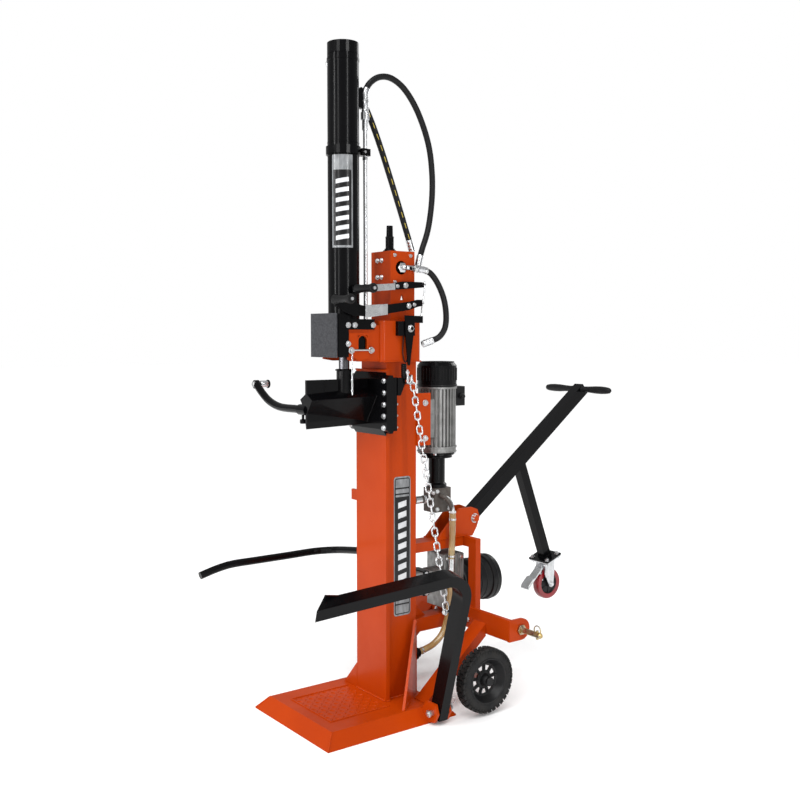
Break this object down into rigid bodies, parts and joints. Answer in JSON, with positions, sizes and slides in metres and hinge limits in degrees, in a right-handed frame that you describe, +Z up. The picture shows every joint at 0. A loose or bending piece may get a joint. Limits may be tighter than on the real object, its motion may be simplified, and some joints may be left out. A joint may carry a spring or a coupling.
{
  "type": "vertical log splitter",
  "caption": "Vertical hydraulic log splitter with a wedge on a guided carriage, electric motor, tractor-shaft drive, chain-driven log lifter, wheels and tow handle.",
  "frame": {"origin": "centre of the base plate's footprint, in the plane of the floor", "axes": "+Z up the column, -Y to the front where the log stands and the operator works, +X to the machine's right where the levers and the log lifter are"},
  "size_m": [0.9248, 1.7013, 2.502],
  "materials": {
    "orange_paint": "glossy orange enamel",
    "black_paint": "glossy black enamel",
    "hammertone": "grey hammertone",
    "zinc": "zinc plated",
    "dark_rod": "dark hard-chromed",
    "gold_zinc": "yellow passivated zinc",
    "cast_aluminium": "die cast",
    "hose_rubber": "satin black",
    "clear_hose": "oil-filled clear hose",
    "tyre_black": "matt",
    "red_tread": "satin red"
  },
  "bodies": {
    "frame": {"base_plate": "orange_paint", "column": "orange_paint", "head_sleeve": "orange_paint", "head_bracket": "orange_paint", "guard_plate": "hammertone", "guard_frame": "black_paint", "cylinder_barrel": "black_paint", "cylinder_cap": "black_paint", "pipe_clamp": "black_paint", "pressure_pipe": "zinc", "hose_supply": "hose_rubber", "hose_return": "hose_rubber", "hose_feed": "hose_rubber", "suction_hose": "clear_hose", "valve_box": "orange_paint", "valve_body": "black_paint", "spool_cap": "black_paint", "guard_bar": "black_paint", "motor_body": "cast_aluminium", "fan_cover": "black_paint", "bell_housing": "black_paint", "motor_bracket": "orange_paint", "pump_body": "cast_aluminium", "rear_frame": "orange_paint", "hitch_bar": "orange_paint", "hitch_pin_right": "gold_zinc", "hitch_pin_left": "gold_zinc", "wheel_brace_left": "orange_paint", "wheel_brace_right": "orange_paint", "axle": "zinc", "pto_gearbox": "cast_aluminium", "pto_guard": "black_paint"},
    "wedge": {"wedge_carriage": "black_paint", "retaining_strip_left": "black_paint", "retaining_strip_right": "black_paint", "chain_bracket": "black_paint", "splitting_wedge": "black_paint", "piston_rod": "dark_rod"},
    "side_arm": {"side_arm": "black_paint"},
    "arm_roller": {"arm_roller": "zinc"},
    "chain_upper": {"lift_chain_upper": "zinc"},
    "chain_lower": {"lift_chain_lower": "zinc"},
    "lifter": {"lifter_post": "black_paint", "lifter_forearm": "black_paint"},
    "control_lever": {"control_lever": "zinc", "control_grip": "hose_rubber"},
    "hold_lever": {"hold_lever": "zinc", "hold_grip": "hose_rubber"},
    "lever_link": {"lever_link": "zinc"},
    "trip_crank": {"trip_crank": "black_paint"},
    "valve_spool": {"valve_spool": "zinc"},
    "motor_rotor": {"motor_rotor": "zinc"},
    "pto_shaft": {"pto_shaft": "zinc"},
    "wheel_right": {"wheel_right": "tyre_black"},
    "wheel_left": {"wheel_left": "tyre_black"},
    "tow_handle": {"tow_handle": "black_paint", "handle_strut": "black_paint"},
    "caster_fork": {"caster_fork": "zinc"},
    "caster_wheel": {"caster_wheel": "red_tread"},
    "brake_pedal": {"brake_pedal": "zinc"}
  },
  "joints": [
    {"name": "wedge_slide", "type": "slide", "parent": "frame", "child": "wedge", "axis": [0, 0, 1], "range_m": [-0.84, 0]},
    {"name": "arm_turn", "type": "hinge", "parent": "wedge", "child": "side_arm", "pos_m": [-0.06, -0.198, 1.168], "axis": [1, 0, 0], "range_deg": [-90, 90]},
    {"name": "roller_spin", "type": "hinge", "parent": "side_arm", "child": "arm_roller", "pos_m": [-0.395, -0.16, 1.247], "axis": [0, 1, 0], "continuous": true},
    {"name": "chain_upper_swing", "type": "hinge", "parent": "wedge", "child": "chain_upper", "pos_m": [0.14, 0.166, 1.29], "axis": [-0.7116, -0.6808, -0.1738], "range_deg": [0, 28]},
    {"name": "lifter_turn", "type": "hinge", "parent": "frame", "child": "lifter", "pos_m": [0.288, 0.185, 0.05], "axis": [0, 1, 0], "range_deg": [0, 75.1]},
    {"name": "chain_lower_swing", "type": "hinge", "parent": "lifter", "child": "chain_lower", "pos_m": [0.338, 0.176, 0.44], "axis": [0.9408, -0.2613, 0.2161], "range_deg": [0, 143.5]},
    {"name": "control_turn", "type": "hinge", "parent": "frame", "child": "control_lever", "pos_m": [0.084, 0.178, 1.628], "axis": [1, 0, 0], "range_deg": [0, 12], "stiffness_Nm_per_rad": 20, "springref_deg": -20.05},
    {"name": "hold_turn", "type": "hinge", "parent": "frame", "child": "hold_lever", "pos_m": [0.108, 0.175, 1.551], "axis": [1, 0, 0], "range_deg": [0, 17.5]},
    {"name": "link_slide", "type": "slide", "parent": "frame", "child": "lever_link", "axis": [0, 0, 1], "range_m": [0, 0.0175]},
    {"name": "crank_turn", "type": "hinge", "parent": "frame", "child": "trip_crank", "pos_m": [0.125, 0.171, 1.466], "axis": [1, 0, 0], "range_deg": [0, 18]},
    {"name": "spool_slide", "type": "slide", "parent": "frame", "child": "valve_spool", "axis": [0, 0, 1], "range_m": [-0.007, 0]},
    {"name": "motor_spin", "type": "hinge", "parent": "frame", "child": "motor_rotor", "pos_m": [0, 0.4, 1.1], "axis": [0, 0, 1], "continuous": true},
    {"name": "pto_spin", "type": "hinge", "parent": "frame", "child": "pto_shaft", "pos_m": [0, 0.57, 0.431], "axis": [0, 1, 0], "continuous": true},
    {"name": "wheel_right_spin", "type": "hinge", "parent": "frame", "child": "wheel_right", "pos_m": [0.32, 0.379, 0.136], "axis": [1, 0, 0], "continuous": true},
    {"name": "wheel_left_spin", "type": "hinge", "parent": "frame", "child": "wheel_left", "pos_m": [-0.32, 0.379, 0.136], "axis": [1, 0, 0], "continuous": true},
    {"name": "handle_turn", "type": "hinge", "parent": "frame", "child": "tow_handle", "pos_m": [0, 0.567, 0.693], "axis": [1, 0, 0], "range_deg": [0, 45]},
    {"name": "caster_swivel", "type": "hinge", "parent": "tow_handle", "child": "caster_fork", "pos_m": [0, 1.013, 0.468], "axis": [0, -0.3567, 0.9342], "continuous": true},
    {"name": "caster_spin", "type": "hinge", "parent": "caster_fork", "child": "caster_wheel", "pos_m": [0, 1.02391, 0.34693], "axis": [1, 0, 0], "continuous": true},
    {"name": "pedal_turn", "type": "hinge", "parent": "caster_fork", "child": "brake_pedal", "pos_m": [0, 0.98144, 0.4217], "axis": [1, 0, 0], "range_deg": [0, 10]}
  ],
  "couplings": [
    {"joint": "lifter_turn", "follows": "wedge_slide", "rad_per_m": -1.5583},
    {"joint": "chain_upper_swing", "follows": "wedge_slide", "rad_per_m": -0.5789},
    {"joint": "chain_lower_swing", "follows": "wedge_slide", "rad_per_m": -2.9753},
    {"joint": "hold_turn", "follows": "control_turn", "ratio": 1.446},
    {"joint": "link_slide", "follows": "control_turn", "m_per_rad": 0.081},
    {"joint": "crank_turn", "follows": "control_turn", "ratio": 1.47},
    {"joint": "spool_slide", "follows": "control_turn", "m_per_rad": -0.03}
  ]
}
